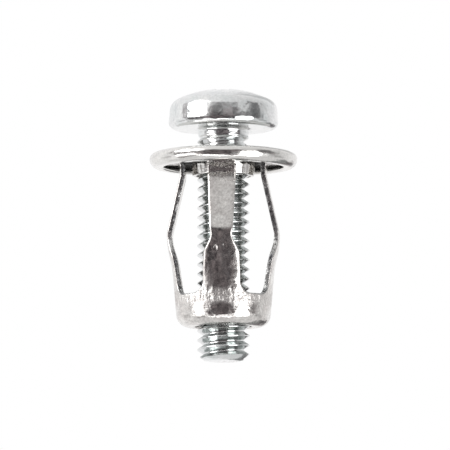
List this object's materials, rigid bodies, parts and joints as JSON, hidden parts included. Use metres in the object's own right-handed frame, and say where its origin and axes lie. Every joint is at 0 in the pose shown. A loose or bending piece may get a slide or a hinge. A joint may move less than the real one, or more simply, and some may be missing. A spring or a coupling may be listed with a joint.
{
  "type": "hollow wall anchor",
  "caption": "Metal hollow wall anchor: a pan-head machine screw through a domed flange, with fold-out sheet legs drawn up by a nut in a round cup.",
  "frame": {"origin": "centre of the screw hole, on the plane where the flange's rim rests on the wall", "axes": "+Z along the screw towards its head, out of the wall; -Y towards one of the four legs, which face -Y, +X, +Y and -X"},
  "size_m": [0.011, 0.011, 0.0201],
  "materials": {
    "zinc_screw": "bright, slightly blue passivated zinc plate",
    "zinc_flange": "bright zinc plate over drawn sheet",
    "zinc_cage": "bright zinc plate over stamped sheet, dull on the sheared edges",
    "zinc_nut": "satin zinc plate"
  },
  "bodies": {
    "flange": {"flange_cap": "zinc_flange", "leg_foot_front": "zinc_cage", "leg_foot_right": "zinc_cage", "leg_foot_back": "zinc_cage", "leg_foot_left": "zinc_cage"},
    "screw": {"screw": "zinc_screw"},
    "nut_cup": {"cup": "zinc_cage", "nut": "zinc_nut"},
    "upper_front": {"upper_leg_front": "zinc_cage"},
    "lower_front": {"lower_leg_front": "zinc_cage"},
    "upper_right": {"upper_leg_right": "zinc_cage"},
    "lower_right": {"lower_leg_right": "zinc_cage"},
    "upper_back": {"upper_leg_back": "zinc_cage"},
    "lower_back": {"lower_leg_back": "zinc_cage"},
    "upper_left": {"upper_leg_left": "zinc_cage"},
    "lower_left": {"lower_leg_left": "zinc_cage"}
  },
  "joints": [
    {"name": "screw_turn", "type": "hinge", "parent": "flange", "child": "screw", "pos_m": [0, 0, 0], "axis": [0, 0, -1], "range_deg": [0, 2520]},
    {"name": "wall_fold_front", "type": "hinge", "parent": "flange", "child": "upper_front", "pos_m": [0, -0.0034, -0.0013], "axis": [-1, 0, 0], "range_deg": [0, 66]},
    {"name": "elbow_front", "type": "hinge", "parent": "upper_front", "child": "lower_front", "pos_m": [0, -0.00376, -0.00496], "axis": [-1, 0, 0], "range_deg": [-132, 0]},
    {"name": "cup_fold_front", "type": "hinge", "parent": "lower_front", "child": "nut_cup", "pos_m": [0, -0.0034, -0.00862], "axis": [-1, 0, 0], "range_deg": [0, 66]},
    {"name": "cup_fold_right", "type": "hinge", "parent": "nut_cup", "child": "lower_right", "pos_m": [0.0034, 0, -0.00862], "axis": [0, -1, 0], "range_deg": [-66, 0]},
    {"name": "elbow_right", "type": "hinge", "parent": "lower_right", "child": "upper_right", "pos_m": [0.00376, 0, -0.00496], "axis": [0, -1, 0], "range_deg": [0, 132]},
    {"name": "cup_fold_back", "type": "hinge", "parent": "nut_cup", "child": "lower_back", "pos_m": [0, 0.0034, -0.00862], "axis": [1, 0, 0], "range_deg": [-66, 0]},
    {"name": "elbow_back", "type": "hinge", "parent": "lower_back", "child": "upper_back", "pos_m": [0, 0.00376, -0.00496], "axis": [1, 0, 0], "range_deg": [0, 132]},
    {"name": "cup_fold_left", "type": "hinge", "parent": "nut_cup", "child": "lower_left", "pos_m": [-0.0034, 0, -0.00862], "axis": [0, 1, 0], "range_deg": [-66, 0]},
    {"name": "elbow_left", "type": "hinge", "parent": "lower_left", "child": "upper_left", "pos_m": [-0.00376, 0, -0.00496], "axis": [0, 1, 0], "range_deg": [0, 132]}
  ],
  "couplings": [
    {"joint": "wall_fold_front", "follows": "screw_turn", "ratio": 0.026},
    {"joint": "elbow_front", "follows": "screw_turn", "ratio": -0.052},
    {"joint": "cup_fold_front", "follows": "screw_turn", "ratio": 0.026},
    {"joint": "cup_fold_right", "follows": "screw_turn", "ratio": -0.026},
    {"joint": "elbow_right", "follows": "screw_turn", "ratio": 0.052},
    {"joint": "cup_fold_back", "follows": "screw_turn", "ratio": -0.026},
    {"joint": "elbow_back", "follows": "screw_turn", "ratio": 0.052},
    {"joint": "cup_fold_left", "follows": "screw_turn", "ratio": -0.026},
    {"joint": "elbow_left", "follows": "screw_turn", "ratio": 0.052}
  ]
}
